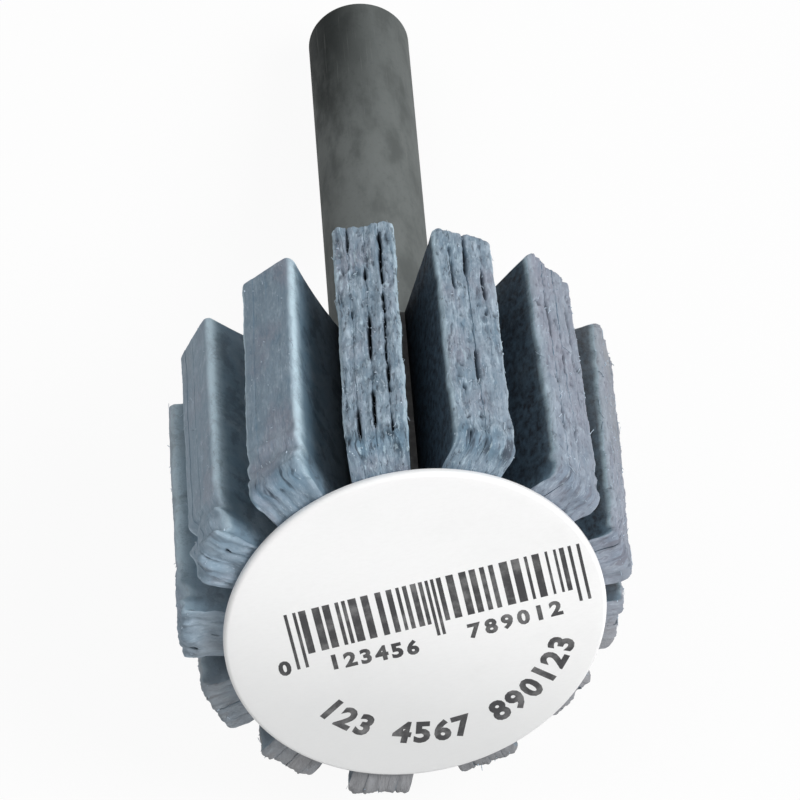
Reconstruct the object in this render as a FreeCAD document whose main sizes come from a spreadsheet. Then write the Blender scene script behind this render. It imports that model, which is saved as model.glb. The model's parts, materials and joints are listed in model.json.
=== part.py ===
import FreeCAD, Part
import math
import os
import Sketcher

# Mounted flap wheel, in millimetres.
# A steel shank is cast into a slotted resin hub. Packs of abrasive cloth flaps stand in the
# hub's slots, fanned out a little towards their tips, and a round paper label closes the front.
# The wheel lies at rest on the back edges of two neighbouring packs and on the shank's tip.

# Driving sizes
SIZES = {
    "shank_dia": 6.0,
    "shank_exposed": 38.0,
    "shank_chamfer": 0.4,
    "seat_step": 0.25,
    "groove_depth": 0.3,
    "groove_width": 1.2,
    "groove_pitch": 3.6,
    "groove_count": 3,
    "groove_start": 5.0,
    "hub_front_recess": 0.85,
    "hub_front_wall": 1.15,
    "hub_rear_recess": 0.8,
    "dish_depth": 0.6,
    "dish_land": 0.5,
    "collar_wall": 1.1,
    "collar_rise": 0.5,
    "collar_fillet": 0.5,
    "collar_chamfer": 0.3,
    "wheel_dia": 25.0,
    "wheel_width": 20.0,
    "pack_count": 13,
    "pack_flaps": 4,
    "flap_thick": 0.7,
    "flap_gap": 0.02,
    "fan_angle": 1.5,
    "seat_depth": 0.85,
    "seat_rib": 0.12,
    "seat_clearance": 0.02,
    "tip_uneven": 0.2,
    "back_uneven": 0.35,
    "front_uneven": 0.25,
    "pack_uneven": 0.5,
    "tip_wave_count": 205,
    "back_wave_count": 140,
    "front_wave_count": 95,
    "pack_wave_count": 5,
    "front_skew_up": -0.052,
    "front_skew_side": 0.088,
    "back_skew_up": -0.019,
    "back_skew_side": 0.066,
    "label_dia": 21.0,
    "label_thick": 0.5,
    "label_bevel": 0.2,
    "label_up": -0.21,
    "label_side": 0.38,
    "label_gap": 0.07,
}

# Relations between the sizes, written once and used in every expression that needs them
SHANK_R = "Sizes.shank_dia / 2"
SEAT_R = f"({SHANK_R} - Sizes.seat_step)"
BORE_R = f"({SEAT_R} + Sizes.seat_clearance)"
FLAP_STEP = "(Sizes.flap_thick + Sizes.flap_gap)"
PACK_HALF = f"(Sizes.pack_flaps * {FLAP_STEP} / 2 - Sizes.flap_gap / 2 + Sizes.seat_clearance)"
FLOOR_R = f"(({PACK_HALF} + Sizes.seat_rib / 2) / tan(180 / Sizes.pack_count))"
ROOT_R = f"({FLOOR_R} + Sizes.seat_clearance)"
HUB_R = f"({ROOT_R} + Sizes.seat_depth)"
HUB_REAR = "(Sizes.wheel_width - Sizes.hub_rear_recess)"
BORE_FLOOR = "(Sizes.hub_front_recess + Sizes.hub_front_wall)"
COLLAR_TOP = f"({HUB_REAR} + Sizes.collar_rise)"
SHANK_END = "(Sizes.wheel_width + Sizes.shank_exposed)"
SLOT_FLARE = "tan(Sizes.fan_angle * (Sizes.pack_flaps - 1) / 2)"

doc = FreeCAD.newDocument("flap_wheel")
sizes = doc.addObject("Spreadsheet::Sheet", "Sizes")


def fill_sheet():
    """Write every driving size into the sheet under its own alias."""
    for row, (name, value) in enumerate(SIZES.items(), start=1):
        sizes.set(f"A{row}", name)
        sizes.set(f"B{row}", str(value))
        sizes.setAlias(f"B{row}", name)
    doc.recompute()


def worth(expression):
    """The present value of a relation between sizes."""
    value = sizes.evalExpression(expression)
    return float(getattr(value, "Value", value))


def new_body(label):
    """An empty body whose label names its file."""
    body = doc.addObject("PartDesign::Body", label)
    body.Label = label
    return body


def datum(body, role):
    """One of a body's own origin planes or axes."""
    for feature in body.Origin.OriginFeatures:
        if feature.Role == role:
            return feature
    raise RuntimeError(f"{body.Label} has no {role}")


def new_sketch(body, name, plane):
    """A sketch on one of the body's origin planes."""
    sketch = body.newObject("Sketcher::SketchObject", name)
    sketch.AttachmentSupport = [(datum(body, plane), "")]
    sketch.MapMode = "FlatFace"
    return sketch


def pin_coordinate(sketch, line, kind, axis_line, expression):
    """Hold the start of a line at a coordinate, or on the axis where it is nought."""
    if expression == "0":
        sketch.addConstraint(Sketcher.Constraint("PointOnObject", line, 1, axis_line))
        return
    place = sketch.addConstraint(Sketcher.Constraint(kind, -1, 1, line, 1, worth(expression)))
    sketch.setExpression(f"Constraints[{place}]", expression)


def draw_outline(sketch, corners):
    """A closed outline of straight lines whose corners follow the sheet."""
    places = [FreeCAD.Vector(worth(across), worth(along), 0) for across, along in corners]
    count = len(places)
    for index, start in enumerate(places):
        sketch.addGeometry(Part.LineSegment(start, places[(index + 1) % count]), False)
    for index in range(count):
        following = (index + 1) % count
        sketch.addConstraint(Sketcher.Constraint("Coincident", index, 2, following, 1))
    for index, (across, along) in enumerate(corners):
        pin_coordinate(sketch, index, "DistanceX", -2, across)
        pin_coordinate(sketch, index, "DistanceY", -1, along)


def revolve(body, name, corners, kind="PartDesign::Revolution"):
    """Turn an outline of radius and height once around the wheel's axis."""
    sketch = new_sketch(body, f"{name}_outline", "XZ_Plane")
    draw_outline(sketch, corners)
    turned = body.newObject(kind, name)
    turned.Profile = sketch
    turned.ReferenceAxis = (sketch, ["V_Axis"])
    turned.Angle = 360
    sketch.Visibility = False
    return turned


def repeat_along(body, name, feature):
    """Repeat a ring feature along the shank, one for each grip groove."""
    pattern = body.newObject("PartDesign::LinearPattern", name)
    pattern.Originals = [feature]
    pattern.Direction = (datum(body, "Z_Axis"), [""])
    pattern.setExpression("Length", "Sizes.groove_pitch * (Sizes.groove_count - 1)")
    pattern.setExpression("Occurrences", "Sizes.groove_count")
    body.Tip = pattern
    return pattern


def make_shank():
    """The steel shank: its seated end is turned down to a shoulder and grooved for the resin."""
    body = new_body("shank")
    inner = f"({BORE_FLOOR} + Sizes.seat_clearance)"
    shoulder = f"({COLLAR_TOP} + Sizes.seat_clearance)"
    revolve(body, "rod", [
        ("0", inner),
        (f"{SEAT_R} - Sizes.shank_chamfer", inner),
        (SEAT_R, f"{inner} + Sizes.shank_chamfer"),
        (SEAT_R, shoulder),
        (SHANK_R, shoulder),
        (SHANK_R, f"{SHANK_END} - Sizes.shank_chamfer"),
        (f"{SHANK_R} - Sizes.shank_chamfer", SHANK_END),
        ("0", SHANK_END),
    ])
    start = "Sizes.groove_start"
    end = f"({start} + Sizes.groove_width)"
    deep = f"({SEAT_R} - Sizes.groove_depth)"
    beyond = f"({SEAT_R} + Sizes.groove_depth)"
    groove = revolve(body, "grip_groove", [
        (deep, start), (beyond, start), (beyond, end), (deep, end),
    ], "PartDesign::Groove")
    repeat_along(body, "grip_grooves", groove)
    return body


def ease_edge(body, name, kind, radius_expression, height_expression):
    """A fillet or chamfer on the circular edge that lies at a given radius and height."""
    doc.recompute()
    radius = worth(radius_expression)
    height = worth(height_expression)
    base = body.Tip
    chosen = []
    for index, edge in enumerate(base.Shape.Edges, start=1):
        if not isinstance(edge.Curve, Part.Circle):
            continue
        if math.isclose(edge.Curve.Radius, radius) and math.isclose(edge.Curve.Center.z, height):
            chosen.append(f"Edge{index}")
    eased = body.newObject(kind, name)
    eased.Base = (base, chosen)
    return eased


def make_hub():
    """The cast resin hub: dished at the rear, with a collar round the shank and pack slots."""
    body = new_body("hub")
    collar_r = f"({BORE_R} + Sizes.collar_wall)"
    dish_floor = f"({HUB_REAR} - Sizes.dish_depth)"
    revolve(body, "casting", [
        ("0", "Sizes.hub_front_recess"),
        (HUB_R, "Sizes.hub_front_recess"),
        (HUB_R, HUB_REAR),
        (f"{HUB_R} - Sizes.dish_land", HUB_REAR),
        (collar_r, dish_floor),
        (collar_r, f"{COLLAR_TOP} - Sizes.collar_chamfer"),
        (f"{collar_r} - Sizes.collar_chamfer", COLLAR_TOP),
        (BORE_R, COLLAR_TOP),
        (BORE_R, BORE_FLOOR),
        ("0", BORE_FLOOR),
    ])
    foot = ease_edge(body, "collar_foot", "PartDesign::Fillet", collar_r, dish_floor)
    foot.setExpression("Radius", "Sizes.collar_fillet")

    # Resin that ran into the shank's grip grooves
    start = "(Sizes.groove_start + Sizes.seat_clearance)"
    end = "(Sizes.groove_start + Sizes.groove_width - Sizes.seat_clearance)"
    inner = f"({BORE_R} - Sizes.groove_depth)"
    outer = f"({BORE_R} + Sizes.groove_depth)"
    ring = revolve(body, "grip_ring", [
        (inner, start), (outer, start), (outer, end), (inner, end),
    ])
    repeat_along(body, "grip_rings", ring)

    # Slots that flare as the packs fan out
    beyond = f"({HUB_R} + Sizes.seat_clearance)"
    mouth_half = f"({PACK_HALF} + ({beyond} - {FLOOR_R}) * {SLOT_FLARE})"
    sketch = new_sketch(body, "slot_outline", "XY_Plane")
    draw_outline(sketch, [
        (FLOOR_R, f"-{PACK_HALF}"),
        (beyond, f"-{mouth_half}"),
        (beyond, mouth_half),
        (FLOOR_R, PACK_HALF),
    ])
    slot = body.newObject("PartDesign::Pocket", "pack_slot")
    slot.Profile = sketch
    slot.Type = "ThroughAll"
    slot.Reversed = True
    slots = body.newObject("PartDesign::PolarPattern", "pack_slots")
    slots.Originals = [slot]
    slots.Axis = (sketch, ["N_Axis"])
    slots.Angle = 360
    slots.setExpression("Occurrences", "Sizes.pack_count")
    body.Tip = slots
    sketch.Visibility = False
    return body


def make_label():
    """The round paper label, its back against the packs' front ends."""
    body = new_body("label")
    sketch = new_sketch(body, "label_outline", "XY_Plane")
    radius = worth("Sizes.label_dia / 2")
    sketch.addGeometry(Part.Circle(FreeCAD.Vector(), FreeCAD.Vector(0, 0, 1), radius), False)
    sketch.addConstraint(Sketcher.Constraint("Coincident", 0, 3, -1, 1))
    across = sketch.addConstraint(Sketcher.Constraint("Diameter", 0, 2 * radius))
    sketch.setExpression(f"Constraints[{across}]", "Sizes.label_dia")
    disc = body.newObject("PartDesign::Pad", "label_disc")
    disc.Profile = sketch
    disc.setExpression("Length", "Sizes.label_thick")
    disc.Reversed = True
    sketch.Visibility = False
    rim = ease_edge(body, "label_rim", "PartDesign::Chamfer", "Sizes.label_dia / 2", "-Sizes.label_thick")
    rim.setExpression("Size", "Sizes.label_bevel")
    return body


def seat_of_label():
    """Where the label is glued: a little off centre, in the skewed plane of the packs' front ends."""
    slope_up = worth("Sizes.front_skew_up")
    slope_side = worth("Sizes.front_skew_side")
    up = worth("Sizes.label_up")
    side = worth("Sizes.label_side")
    depth = slope_up * up + slope_side * side - worth("Sizes.label_gap")
    facing = FreeCAD.Vector(-slope_up, -slope_side, 1)
    tilt = FreeCAD.Rotation(FreeCAD.Vector(0, 0, 1), facing)
    return FreeCAD.Placement(FreeCAD.Vector(up, side, depth), tilt)


def uneven(depth, waves, place):
    """How far a cut edge falls short: waves that quicken round the wheel, nought at both ends."""
    share = f"({place} / (Sizes.pack_count * Sizes.pack_flaps - 1))"
    return f"Sizes.{depth} * (1 - cos(360 * Sizes.{waves} * {share} * {share})) / 2"


def skewed(end, pack, layer, radius):
    """How far the packs' skewed front or back ends lie behind a square cut, at a radius of one flap."""
    turn = f"(360 * {pack} / Sizes.pack_count)"
    aside = f"({layer} - (Sizes.pack_flaps - 1) / 2) * {FLAP_STEP}"
    up = f"Sizes.{end}_skew_up"
    side = f"Sizes.{end}_skew_side"
    outwards = f"({up} * cos({turn}) + {side} * sin({turn}))"
    sideways = f"({side} * cos({turn}) - {up} * sin({turn}))"
    return f"({radius} * {outwards} + {aside} * {sideways})"


def make_flap(label, pack, layer, place):
    """One cut piece of abrasive cloth, its root at the sketch's origin."""
    body = new_body(label)
    reach = f"(Sizes.wheel_dia / 2 - {ROOT_R} - {uneven('tip_uneven', 'tip_wave_count', place)})"
    tip_r = f"({ROOT_R} + {reach})"
    pack_wave = f"Sizes.pack_uneven * cos(360 * Sizes.pack_wave_count * {pack} / Sizes.pack_count)"
    front = f"({uneven('front_uneven', 'front_wave_count', place)})"
    back = f"(Sizes.wheel_width + {pack_wave} - {uneven('back_uneven', 'back_wave_count', place)})"
    sketch = new_sketch(body, f"{label}_outline", "XZ_Plane")
    draw_outline(sketch, [
        ("0", f"{front} + {skewed('front', pack, layer, ROOT_R)}"),
        (reach, f"{front} + {skewed('front', pack, layer, tip_r)}"),
        (reach, f"{back} + {skewed('back', pack, layer, tip_r)}"),
        ("0", f"{back} + {skewed('back', pack, layer, ROOT_R)}"),
    ])
    cloth = body.newObject("PartDesign::Pad", f"{label}_cloth")
    cloth.Profile = sketch
    cloth.setExpression("Length", "Sizes.flap_thick")
    sketch.Visibility = False
    return body


def seat_of_flap(pack, layer):
    """Where a flap stands on the wheel: its pack's slot, its layer and its share of the fan."""
    turn = FreeCAD.Rotation(FreeCAD.Vector(0, 0, 1), 360 * pack / worth("Sizes.pack_count"))
    aside = layer - (worth("Sizes.pack_flaps") - 1) / 2
    root = FreeCAD.Vector(worth(ROOT_R), aside * worth(FLAP_STEP), 0)
    fan = FreeCAD.Rotation(FreeCAD.Vector(0, 0, 1), aside * worth("Sizes.fan_angle"))
    half_cloth = FreeCAD.Vector(0, worth("Sizes.flap_thick / 2"), 0)
    in_pack = FreeCAD.Placement(root, fan) * FreeCAD.Placement(half_cloth, FreeCAD.Rotation())
    return FreeCAD.Placement(FreeCAD.Vector(), turn) * in_pack


def make_flaps():
    """Every flap of every pack, with its seat on the wheel."""
    packs = round(worth("Sizes.pack_count"))
    layers = round(worth("Sizes.pack_flaps"))
    first_above_floor = (packs + 1) // 2
    flaps = []
    for pack in range(packs):
        for layer in range(layers):
            place = (pack - first_above_floor) % packs * layers + layer
            body = make_flap(f"pack_{pack + 1:02d}_flap_{layer + 1}", pack, layer, place)
            flaps.append((body, seat_of_flap(pack, layer)))
    return flaps


def attitude_at_rest(flaps):
    """The roll and lean, in degrees, at which two packs and the shank's tip touch the floor."""
    axis = FreeCAD.Vector(0, 0, 1)
    tip_depth = worth(SHANK_R)
    tip_height = worth(f"{SHANK_END} - Sizes.shank_chamfer")
    corners = [seat.multVec(vertex.Point) for body, seat in flaps for vertex in body.Shape.Vertexes]
    high = 90 / worth("Sizes.pack_count")
    low = -high
    for halving in range(40):
        roll = (low + high) / 2
        turn = FreeCAD.Rotation(axis, roll)
        left = right = 0.0
        for corner in corners:
            place = turn.multVec(corner)
            lean = math.atan2(-place.x - tip_depth, tip_height - place.z)
            if place.y < 0:
                left = max(left, lean)
            else:
                right = max(right, lean)
        if right > left:
            high = roll
        else:
            low = roll
    return roll, math.degrees(max(left, right))


def lay_down(pieces, roll, lean):
    """Lay the wheel on the floor, label to the front, centred over the origin."""
    right = FreeCAD.Vector(1, 0, 0)
    back = FreeCAD.Vector(0, 1, 0)
    up = FreeCAD.Vector(0, 0, 1)
    tilt = FreeCAD.Rotation(right, -lean)
    turn = FreeCAD.Rotation(FreeCAD.Vector(0, 0, 1), roll)
    lying = FreeCAD.Placement(FreeCAD.Vector(), tilt * FreeCAD.Rotation(up, right, back) * turn)
    for body, seat in pieces:
        body.Placement = lying * seat
    doc.recompute()
    box = Part.makeCompound([body.Shape for body, seat in pieces]).optimalBoundingBox(False)
    shift = FreeCAD.Vector(-box.Center.x, -box.Center.y, -box.ZMin)
    for body, seat in pieces:
        body.Placement = FreeCAD.Placement(shift, FreeCAD.Rotation()) * body.Placement
    doc.recompute()


def check_model(bodies):
    """Stop on any failed object or unsound solid."""
    for item in doc.Objects:
        if "Invalid" in item.State or "Error" in item.State:
            raise RuntimeError(f"{item.Label} failed: {item.State}")
    for body in bodies:
        shape = body.Shape
        if shape.isNull() or not shape.isValid() or len(shape.Solids) != 1:
            raise RuntimeError(f"{body.Label} is not one sound solid")


fill_sheet()
shank = make_shank()
hub = make_hub()
label_disc = make_label()
flaps = make_flaps()
doc.recompute()
upright = FreeCAD.Placement()
pieces = [(shank, upright), (hub, upright), (label_disc, seat_of_label())] + flaps
roll_at_rest, lean_at_rest = attitude_at_rest(flaps)
lay_down(pieces, roll_at_rest, lean_at_rest)
check_model([body for body, seat in pieces])

os.makedirs("parts", exist_ok=True)
for body, seat in pieces:
    body.Shape.exportStep(os.path.join("parts", f"{body.Label}.step"))
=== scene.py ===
import json
import math
from random import Random

import bmesh
import bpy
import numpy as np
from mathutils import Matrix, Vector


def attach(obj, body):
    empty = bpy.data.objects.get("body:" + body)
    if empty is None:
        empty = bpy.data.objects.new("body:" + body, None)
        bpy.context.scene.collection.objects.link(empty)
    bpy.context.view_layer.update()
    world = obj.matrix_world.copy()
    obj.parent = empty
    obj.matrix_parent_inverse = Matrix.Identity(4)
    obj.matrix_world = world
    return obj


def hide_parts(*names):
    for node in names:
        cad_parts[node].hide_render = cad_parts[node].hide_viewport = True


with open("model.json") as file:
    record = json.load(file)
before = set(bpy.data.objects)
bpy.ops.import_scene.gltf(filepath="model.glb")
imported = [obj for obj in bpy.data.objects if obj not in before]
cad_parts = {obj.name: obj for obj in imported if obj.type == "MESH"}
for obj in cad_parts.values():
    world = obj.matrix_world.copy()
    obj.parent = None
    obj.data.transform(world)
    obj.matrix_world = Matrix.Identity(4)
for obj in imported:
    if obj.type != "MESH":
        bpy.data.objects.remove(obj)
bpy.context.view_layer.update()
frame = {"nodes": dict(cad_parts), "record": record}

bl_info = {
    "name": "Mounted flap wheel",
    "version": (1, 0, 0),
    "blender": (4, 5, 0),
    "location": "3D View > Sidebar > Flap wheel",
    "description": "Dresses a mounted flap wheel in worn cloth, resin, steel and a printed label",
    "category": "Object",
}

MM = 0.001
PACKS = 13
FLAPS = 4
SEED = 26


# The wheel's own frame: X outward through pack 1, Y across to the right, Z from the label to the shank's tip

def wheel_frame():
    """The matrix from the wheel's own frame, with its origin on the axis at the hub's front, to the row's."""
    pin = frame["record"]["mounts"][0]
    back = Vector(pin["axis"]).normalized()
    middle = Vector(pin["pos_m"])
    first_pack = [frame["nodes"]["pack_01_flap_%d" % (layer + 1)] for layer in range(FLAPS)]
    corners = [v.co - middle for flap in first_pack for v in flap.data.vertices]
    toward = sum(corners, Vector()) / len(corners)
    out = (toward - back * back.dot(toward)).normalized()
    front = min(back.dot(v.co - middle) for v in frame["nodes"]["hub"].data.vertices)
    turned = Matrix((out, back.cross(out), back)).transposed().to_4x4()
    return Matrix.Translation(middle + back * front) @ turned


WHEEL = wheel_frame()


def points_of(node):
    """The corners of a CAD node in the wheel's own frame, as rows of x, y and z."""
    to_wheel = WHEEL.inverted()
    return np.array([to_wheel @ v.co for v in frame["nodes"][node].data.vertices])


# Node trees written as expressions

class Wire:
    """A node's output in an expression, whose arithmetic adds Math or Vector Math nodes."""

    def __init__(self, bench, socket):
        self.bench = bench
        self.socket = socket

    def join(self, operation, first, second):
        """Adds the node for one operation on two wires or values."""
        kind, values = "ShaderNodeMath", [first, second]
        if any(isinstance(x, Wire) and x.socket.type in ("VECTOR", "RGBA") for x in values):
            values = [(x, x, x) if isinstance(x, (int, float)) else x for x in values]
            kind = "ShaderNodeVectorMath"
        return self.bench.node(kind, dict(enumerate(values)), operation=operation)

    def __add__(self, other):
        return self.join("ADD", self, other)

    def __sub__(self, other):
        return self.join("SUBTRACT", self, other)

    def __rsub__(self, other):
        return self.join("SUBTRACT", other, self)

    def __mul__(self, other):
        return self.join("MULTIPLY", self, other)

    def __truediv__(self, other):
        return self.join("DIVIDE", self, other)

    def __pow__(self, other):
        return self.join("POWER", self, other)

    __radd__ = __add__
    __rmul__ = __mul__

    def above(self, other):
        """One where this is above the other, and nought elsewhere."""
        return self.join("GREATER_THAN", self, other)

    def least(self, other):
        """The smaller of the two."""
        return self.join("MINIMUM", self, other)

    def most(self, other):
        """The larger of the two."""
        return self.join("MAXIMUM", self, other)

    def single(self, operation):
        """One operation on this alone, such as SINE or ABSOLUTE."""
        return self.bench.node("ShaderNodeMath", {0: self}, operation=operation)

    def output(self, name):
        """Another output of the same node."""
        return Wire(self.bench, self.socket.node.outputs[name])

    def parts(self):
        """The X, Y and Z of a vector."""
        x = self.bench.node("ShaderNodeSeparateXYZ", {0: self})
        return x, x.output("Y"), x.output("Z")


class Bench:
    """One node tree in the making."""

    def __init__(self, tree):
        self.tree = tree
        self.source = None

    def node(self, kind, sockets=None, output=0, **settings):
        """Adds a node, with its settings first and then the values or links of its sockets."""
        made = self.tree.nodes.new(kind)
        for name, value in settings.items():
            setattr(made, name, value)
        for name, value in (sockets or {}).items():
            if isinstance(value, Wire):
                self.tree.links.new(value.socket, made.inputs[name])
            else:
                made.inputs[name].default_value = value
        return Wire(self, made.outputs[output] if len(made.outputs) else None)

    def ask(self, kind, *names):
        """Adds named inputs of one kind to the tree and returns them."""
        for name in names:
            self.tree.interface.new_socket(name, in_out="INPUT", socket_type="NodeSocket" + kind)
        if self.source is None:
            self.source = self.tree.nodes.new("NodeGroupInput")
        return [Wire(self, self.source.outputs[name]) for name in names]

    def give(self, geometry):
        """Ends the tree with its one output."""
        self.tree.interface.new_socket("Geometry", in_out="OUTPUT", socket_type="NodeSocketGeometry")
        self.node("NodeGroupOutput", {0: geometry})

    def vector(self, x, y, z):
        """A vector from three wires or values."""
        return self.node("ShaderNodeCombineXYZ", {0: x, 1: y, 2: z})

    def fade(self, value, low, high, start=0, end=1):
        """A smooth step from start, at low, to end, at high."""
        places = {"Value": value, "From Min": low, "From Max": high, "To Min": start, "To Max": end}
        return self.node("ShaderNodeMapRange", places, interpolation_type="SMOOTHSTEP")

    def noise(self, place, detail=2, roughness=0.5, scale=1):
        """Soft noise between 0 and 1 at a place."""
        values = {"Vector": place, "Scale": scale, "Detail": detail, "Roughness": roughness}
        return self.node("ShaderNodeTexNoise", values)

    def drift(self, place, scale=1, detail=2):
        """Three soft noises between -0.5 and 0.5 at a place."""
        values = {"Vector": place, "Scale": scale, "Detail": detail}
        return self.node("ShaderNodeTexNoise", values, "Color") - 0.5

    def gather(self, *parts):
        """Joins pieces of geometry into one."""
        joined = self.node("GeometryNodeJoinGeometry")
        for part in parts:
            self.tree.links.new(part.socket, joined.socket.node.inputs[0])
        return joined

    def tint(self, share, first, second):
        """A mix of two colours."""
        first, second = [x if isinstance(x, Wire) else (*x, 1) for x in (first, second)]
        return self.node("ShaderNodeMix", {0: share, 6: first, 7: second}, 2, data_type="RGBA")


# Meshes and pieces

def keep(piece, slot, *nodes):
    """Makes a piece ride on the wheel and stand for its CAD nodes, which it hides; the slot is not used."""
    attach(piece, "root")
    if nodes:
        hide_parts(*nodes)


def named_values(group):
    """The settings of a group under the names that they show, which the node trees' inputs share."""
    return {kept.name: getattr(group, identifier) for identifier, kept in group.bl_rna.properties.items()}


def add_object(name, mesh):
    """Puts a mesh in the scene as an object at the origin."""
    piece = bpy.data.objects.new(name, mesh)
    bpy.context.scene.collection.objects.link(piece)
    return piece


def evaluated_mesh(piece):
    """A plain mesh of an object as its modifiers or its text make it."""
    graph = bpy.context.evaluated_depsgraph_get()
    return bpy.data.meshes.new_from_object(
        piece.evaluated_get(graph), preserve_all_data_layers=True, depsgraph=graph
    )


def finished_mesh(made, name, target):
    """Ends a mesh in the making, with its faces outwards, and moves it to its frame."""
    bmesh.ops.recalc_face_normals(made, faces=made.faces)
    mesh = bpy.data.meshes.new(name)
    made.to_mesh(mesh)
    made.free()
    mesh.transform(target)
    return mesh


def grow(name, guide, tree, values):
    """Runs a node tree on a guide mesh and keeps the result as a plain mesh in the row's frame."""
    piece = add_object(name, guide)
    modifier = piece.modifiers.new("grow", "NODES")
    modifier.node_group = tree
    for item in tree.interface.items_tree:
        if item.item_type == "SOCKET" and item.in_out == "INPUT" and item.name in values:
            modifier[item.identifier] = values[item.name]
    mesh = evaluated_mesh(piece)
    piece.modifiers.clear()
    piece.data = mesh
    mesh.transform(WHEEL)
    return piece


def turn_profile(name, profile, segments, frame_of_turn):
    """A closed solid turned about a frame's z, from a profile of radius and station between two poles."""
    made = bmesh.new()
    rings = []
    for radius, station in profile:
        if radius == 0:
            rings.append([made.verts.new((0, 0, station))])
            continue
        angles = [2 * math.pi * i / segments for i in range(segments)]
        rings.append([made.verts.new((radius * math.cos(a), radius * math.sin(a), station)) for a in angles])
    for first, second in zip(rings, rings[1:]):
        for i in range(segments):
            j = (i + 1) % segments
            corners = [ring[k % len(ring)] for ring, k in ((first, i), (first, j), (second, j), (second, i))]
            made.faces.new(list(dict.fromkeys(corners)))
    return finished_mesh(made, name, frame_of_turn)


def arc(middle, radius, start, end, steps):
    """Points of radius and station along an arc, with its angles in degrees from the radius."""
    angles = [math.radians(start + (end - start) * i / steps) for i in range(steps + 1)]
    return [(middle[0] + radius * math.cos(a), middle[1] + radius * math.sin(a)) for a in angles]


# The sizes and colours that can be changed

def setting(kind, **fixed):
    """A maker of one sort of property."""
    return lambda name, about, default: kind(name=name, description=about, default=default, **fixed)


colour = setting(bpy.props.FloatVectorProperty, subtype="COLOR", size=3, min=0, max=1)
point = setting(bpy.props.FloatVectorProperty, subtype="TRANSLATION", unit="LENGTH", size=3, precision=6)
size = setting(bpy.props.FloatProperty, subtype="DISTANCE", unit="LENGTH", precision=6)
angle = setting(bpy.props.FloatProperty, subtype="ANGLE", unit="ROTATION")
focal_length = setting(bpy.props.FloatProperty, subtype="DISTANCE_CAMERA", min=1)
power = setting(bpy.props.FloatProperty, subtype="POWER", min=0)
share = setting(bpy.props.FloatProperty, subtype="FACTOR", min=0, max=1)
count = setting(bpy.props.IntProperty, min=1)


class FlapSettings(bpy.types.PropertyGroup):
    """How the packs of cloth are worn."""

    layer_ease: size("Layer easing", "Radius of a layer's corners inside a pack", 0.025 * MM)
    pack_ease: size("Pack easing", "Radius of a pack's two worn long corners", 0.3 * MM)
    end_ease: size("End easing", "Radius of a pack's worn ends", 0.5 * MM)
    swell: size("Swell", "How far a tip swells sideways", 0.05 * MM)
    relief: size("Relief", "Height of a torn tip's ridges and lumps", 0.17 * MM)
    sway: size("Sway", "How far a tip wanders sideways", 0.14 * MM)
    seam_sway: size("Seam sway", "How far the seams between layers wander", 0.2 * MM)
    crack_depth: size("Crack depth", "Depth of the openings between layers", 0.6 * MM)
    pit_depth: size("Pit depth", "Depth of the pits torn in a tip", 0.2 * MM)
    crumple_depth: size("Crumple depth", "Depth of the folds towards a pack's front", 0.38 * MM)
    end_ragged: size("Ragged ends", "How far the layers' ends are uneven", 0.2 * MM)
    grain_size: size("Grain size", "Radius of the loose grains at the tips", 0.045 * MM)
    thread_length: size("Thread length", "Length of the loose threads at the tips", 0.8 * MM)
    rows_out: count("Rows outward", "Mesh rows from a flap's root to its tip", 10)
    rows_across: count("Rows across", "Mesh rows through a flap's thickness", 13)
    rows_along: count("Rows along", "Mesh rows along the wheel", 190)
    slate: colour("Slate", "The cloth's blue-grey", (0.28, 0.355, 0.43))
    mauve: colour("Mauve", "The cloth's purplish patches", (0.33, 0.335, 0.4))
    # Pale fibres, also used as the painted highlight on ridges and the painted light on the far-left packs
    fibre: colour("Fibre", "Pale worn fibres and corners", (0.56, 0.67, 0.77))
    # Also used as the painted highlight on the packs' long corners
    worn: colour("Worn", "A pack's palest, worn corners", (0.62, 0.79, 0.89))
    # Dark flecks, and painted shade in troughs, cracks, pits, deep between packs, on the fronts and near the
    # floor
    soot_and_shade: colour("Soot", "Dust and shade in cracks", (0.014, 0.018, 0.027))
    coat: colour("Coat", "The grain coat on a pack's right side", (0.145, 0.235, 0.315))
    dust: colour("Dust", "Grey dust on the packs near the floor", (0.325, 0.325, 0.335))
    # The cloth's back on the left side, whose near-black tone is painted shade
    backing_and_shade: colour("Backing", "The dark cloth on a pack's left side", (0.016, 0.018, 0.024))


class LabelSettings(bpy.types.PropertyGroup):
    """The printed disc on the wheel's front."""

    rim: size("Rim radius", "Radius of the disc's rounded rim", 0.24 * MM)
    print_turn: angle("Print angle", "How far the print is turned on the disc", math.radians(2.5))
    bars: count("Number of bars", "How many bars are printed", 32)
    bar_height: size("Bar height", "Height of the printed bars", 3.05 * MM)
    bar_drop: size("Bar drop", "How much further the end and middle bars reach down", 0.9 * MM)
    band_width: size("Band width", "Width of the band of bars", 16.6 * MM)
    digit_size: size("Digit size", "Height of the digits under the bars", 1.05 * MM)
    ring_size: size("Ring digit size", "Height of the digits round the rim", 1.5 * MM)
    paper: colour("Paper", "The disc's coated paper", (0.97, 0.97, 0.97))
    ink: colour("Ink", "The print", (0.035, 0.035, 0.038))


class MetalSettings(bpy.types.PropertyGroup):
    """The steel shank and the resin hub."""

    steel: colour("Steel", "The shank's matt steel", (0.178, 0.194, 0.191))
    # Dark stains, also used as painted shade towards the shank's right side
    stain_and_shade: colour("Stain", "Dark stains on the steel", (0.095, 0.104, 0.102))
    # The darkest tone: darker towards the shank's tip, and painted shade down its left side
    tip_dark_and_side_shade: colour("Burn", "The darkest stain, towards the shank's tip", (0.012, 0.015, 0.015))
    resin: colour("Resin", "The hub's cast resin", (0.035, 0.035, 0.038))


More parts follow.
